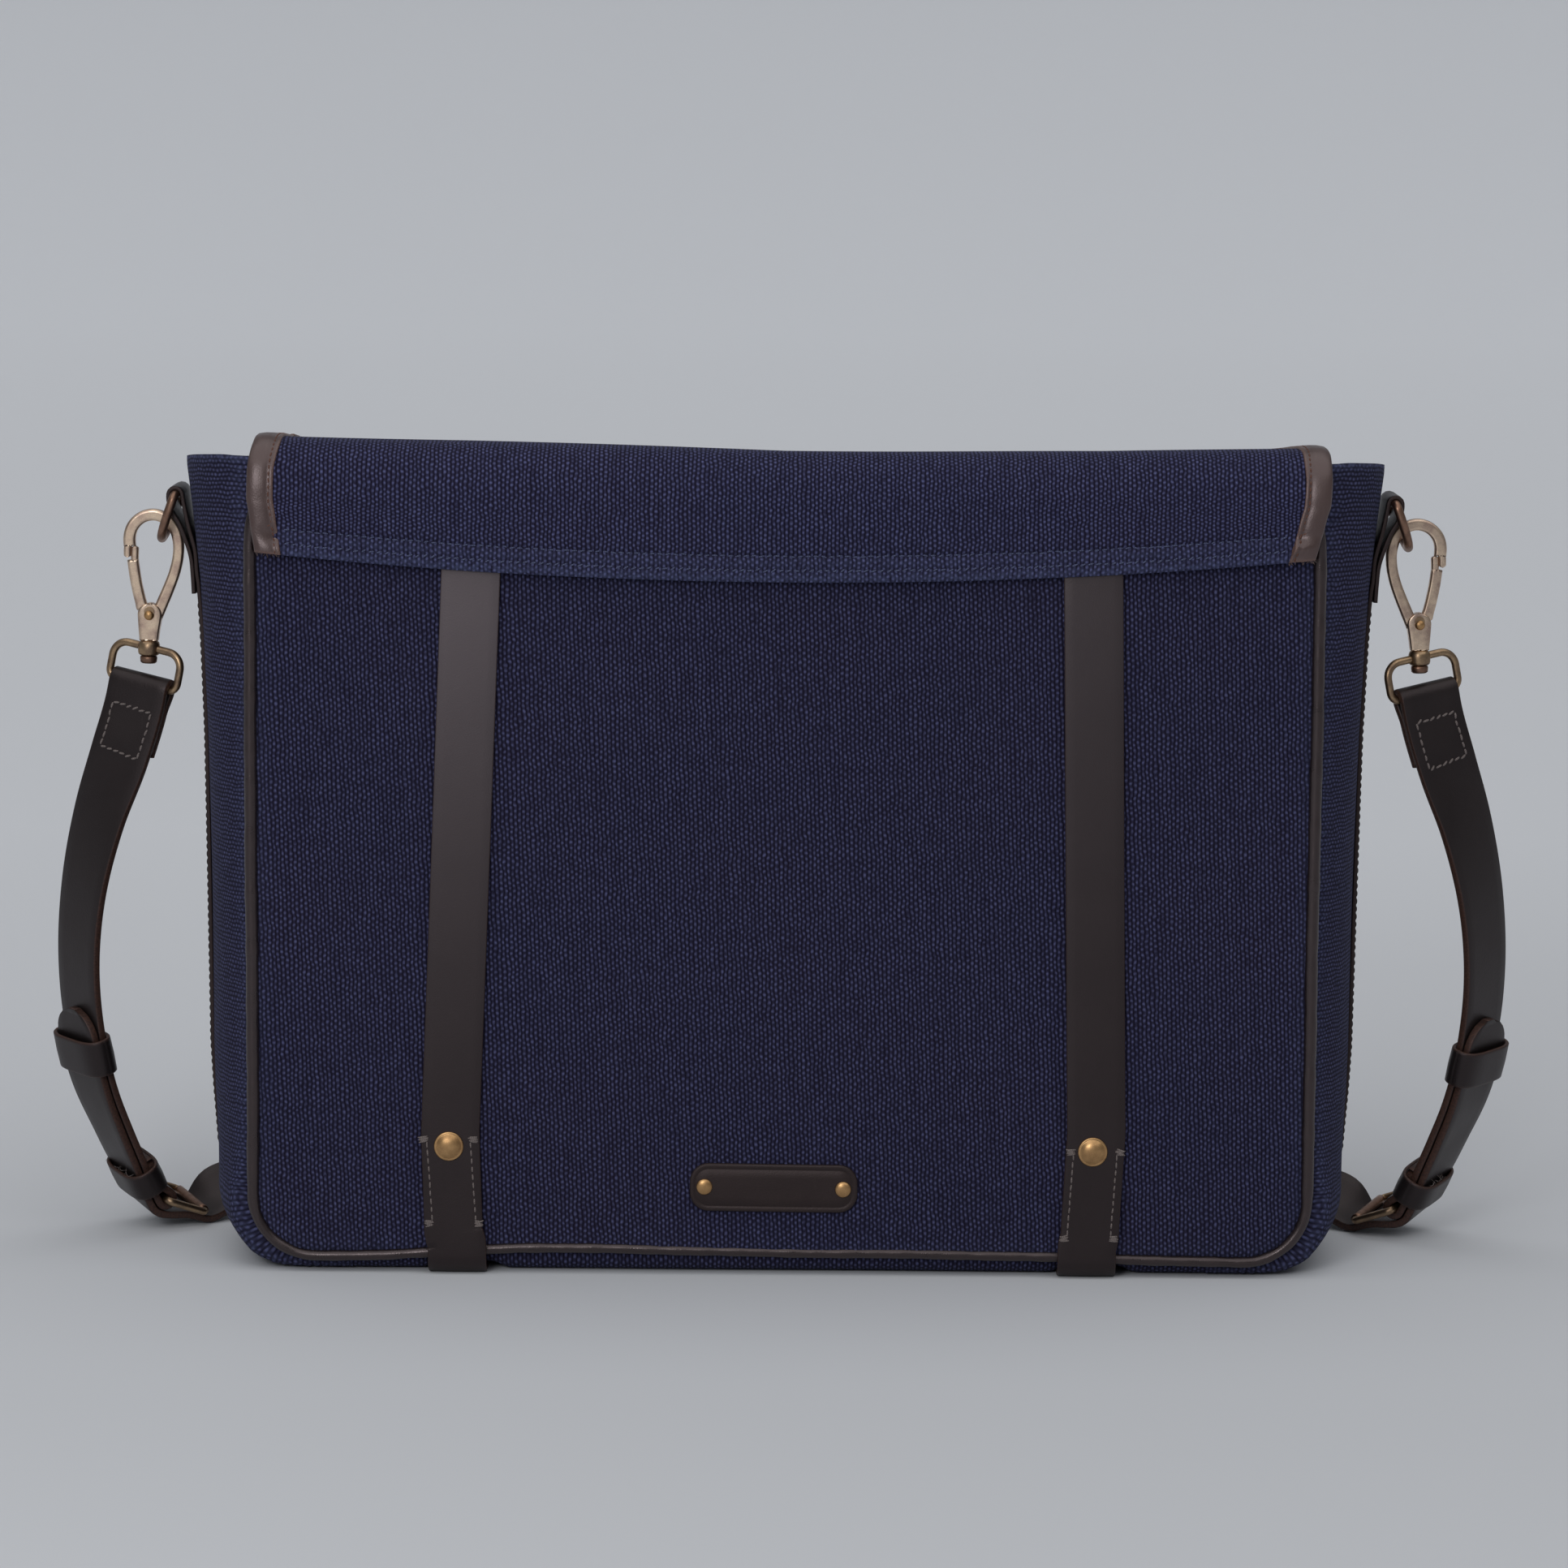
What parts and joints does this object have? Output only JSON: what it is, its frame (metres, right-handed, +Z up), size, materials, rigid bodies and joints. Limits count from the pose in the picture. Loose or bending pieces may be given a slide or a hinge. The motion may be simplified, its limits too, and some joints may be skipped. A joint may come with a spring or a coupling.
{
  "type": "messenger bag",
  "caption": "Soft dark canvas messenger bag with leather piping and straps, a fold-over flap with buckled closures, side rings, and a clip-on shoulder strap resting on the floor.",
  "frame": {"origin": "on the floor under the middle of the base, midway between the back and front panels", "axes": "+X to the right when facing the back panel, -Y out of the back panel, +Y towards the flap's front and the closures, +Z up"},
  "size_m": [0.568, 0.2099, 0.3128],
  "materials": {
    "canvas": "dark navy cotton canvas with a paler worn thread",
    "lining_cloth": "plain woven cotton",
    "board": "matt black stiffener",
    "dark_leather": "dark brown, worn semi-gloss",
    "patch_leather": "dark brown, matt",
    "closure_leather": "dark brown, worn semi-gloss",
    "strap_leather": "near-black with brown raw edges",
    "antique_brass": "antique bronze brass, satin",
    "snap_metal": "antique brass, satin",
    "spring_steel": "plain spring wire"
  },
  "bodies": {
    "bag": {"back_panel": "canvas", "front_panel": "canvas", "side_gusset_left": "canvas", "side_gusset_right": "canvas", "base_panel": "canvas", "base_board": "board", "back_piping": "dark_leather", "front_piping": "dark_leather", "lining": "lining_cloth", "laptop_sleeve": "lining_cloth", "inner_pocket": "lining_cloth", "wrap_strap_left": "dark_leather", "wrap_strap_right": "dark_leather", "wrap_strap_rivets": "antique_brass", "label_patch": "patch_leather", "label_rivets": "antique_brass", "side_tab_left": "dark_leather", "side_tab_right": "dark_leather", "flap_rear_panel": "canvas", "flap_rear_bindings": "dark_leather", "snap_sockets": "snap_metal"},
    "flap_top": {"flap_top_panel": "canvas", "flap_top_bindings": "dark_leather"},
    "flap_front": {"flap_front_panel": "canvas", "flap_front_binding": "dark_leather", "closure_strap_left": "closure_leather", "closure_strap_right": "closure_leather", "closure_tongue_left": "closure_leather", "closure_tongue_right": "closure_leather", "closure_buckle_left": "antique_brass", "closure_buckle_right": "antique_brass", "closure_keepers": "closure_leather", "closure_rivets": "antique_brass", "snap_studs": "snap_metal"},
    "closure_prong_left": {"closure_prong_left": "antique_brass"},
    "closure_prong_right": {"closure_prong_right": "antique_brass"},
    "ring_left": {"ring_left": "antique_brass"},
    "ring_right": {"ring_right": "antique_brass"},
    "shoulder_strap": {"strap_end_left": "strap_leather", "strap_end_right": "strap_leather", "center_strap": "strap_leather", "fixed_keeper_left": "strap_leather", "fixed_keeper_right": "strap_leather", "strap_buckle_left": "antique_brass", "strap_buckle_right": "antique_brass", "swivel_loop_left": "antique_brass", "swivel_loop_right": "antique_brass"},
    "sliding_keeper_left": {"sliding_keeper_left": "strap_leather"},
    "sliding_keeper_right": {"sliding_keeper_right": "strap_leather"},
    "strap_prong_left": {"strap_prong_left": "antique_brass"},
    "strap_prong_right": {"strap_prong_right": "antique_brass"},
    "hook_left": {"hook_left": "antique_brass", "gate_pin_left": "antique_brass", "gate_spring_left": "spring_steel"},
    "hook_right": {"hook_right": "antique_brass", "gate_pin_right": "antique_brass", "gate_spring_right": "spring_steel"},
    "gate_left": {"gate_left": "antique_brass"},
    "gate_right": {"gate_right": "antique_brass"}
  },
  "joints": [
    {"name": "flap_lift", "type": "hinge", "parent": "bag", "child": "flap_top", "pos_m": [0, -0.051, 0.311], "axis": [1, 0, 0], "range_deg": [0, 170]},
    {"name": "flap_fold", "type": "hinge", "parent": "flap_top", "child": "flap_front", "pos_m": [0, 0.0545, 0.311], "axis": [1, 0, 0], "range_deg": [0, 165]},
    {"name": "strap_swing", "type": "hinge", "parent": "bag", "child": "shoulder_strap", "pos_m": [0, 0, 0.28774], "axis": [1, 0, 0], "range_deg": [0, 30]},
    {"name": "ring_left", "type": "hinge", "parent": "bag", "child": "ring_left", "pos_m": [-0.2312, 0, 0.2915], "axis": [0, 1, 0], "range_deg": [-3, 20]},
    {"name": "hook_swivel_left", "type": "hinge", "parent": "shoulder_strap", "child": "hook_left", "pos_m": [-0.2429, 0, 0.2345], "axis": [0.0384, 0, 0.9993], "range_deg": [-18, 18]},
    {"name": "gate_left", "type": "hinge", "parent": "hook_left", "child": "gate_left", "pos_m": [-0.24246, 0, 0.24599], "axis": [0, 1, 0], "range_deg": [0, 18], "stiffness_Nm_per_rad": 0.02},
    {"name": "strap_prong_left", "type": "hinge", "parent": "shoulder_strap", "child": "strap_prong_left", "pos_m": [-0.2465, 0.031, 0.0136], "axis": [0.4869, -0.8636, -0.1311], "range_deg": [-1, 4]},
    {"name": "closure_prong_left", "type": "hinge", "parent": "flap_front", "child": "closure_prong_left", "pos_m": [-0.1185, 0.0588, 0.13], "axis": [1, 0, 0], "range_deg": [0, 10]},
    {"name": "sliding_keeper_left", "type": "slide", "parent": "shoulder_strap", "child": "sliding_keeper_left", "axis": [0.1813, 0.1901, -0.9649], "range_m": [-0.006, 0.006]},
    {"name": "ring_right", "type": "hinge", "parent": "bag", "child": "ring_right", "pos_m": [0.2312, 0, 0.2915], "axis": [0, -1, 0], "range_deg": [-3, 20]},
    {"name": "hook_swivel_right", "type": "hinge", "parent": "shoulder_strap", "child": "hook_right", "pos_m": [0.2429, 0, 0.2345], "axis": [-0.0384, 0, 0.9993], "range_deg": [-18, 18]},
    {"name": "gate_right", "type": "hinge", "parent": "hook_right", "child": "gate_right", "pos_m": [0.24246, 0, 0.24599], "axis": [0, -1, 0], "range_deg": [0, 18], "stiffness_Nm_per_rad": 0.02},
    {"name": "strap_prong_right", "type": "hinge", "parent": "shoulder_strap", "child": "strap_prong_right", "pos_m": [0.2465, 0.031, 0.0136], "axis": [0.4869, 0.8636, 0.1311], "range_deg": [-1, 4]},
    {"name": "closure_prong_right", "type": "hinge", "parent": "flap_front", "child": "closure_prong_right", "pos_m": [0.1185, 0.0588, 0.13], "axis": [1, 0, 0], "range_deg": [0, 10]},
    {"name": "sliding_keeper_right", "type": "slide", "parent": "shoulder_strap", "child": "sliding_keeper_right", "axis": [-0.1813, 0.1901, -0.9649], "range_m": [-0.006, 0.006]}
  ]
}
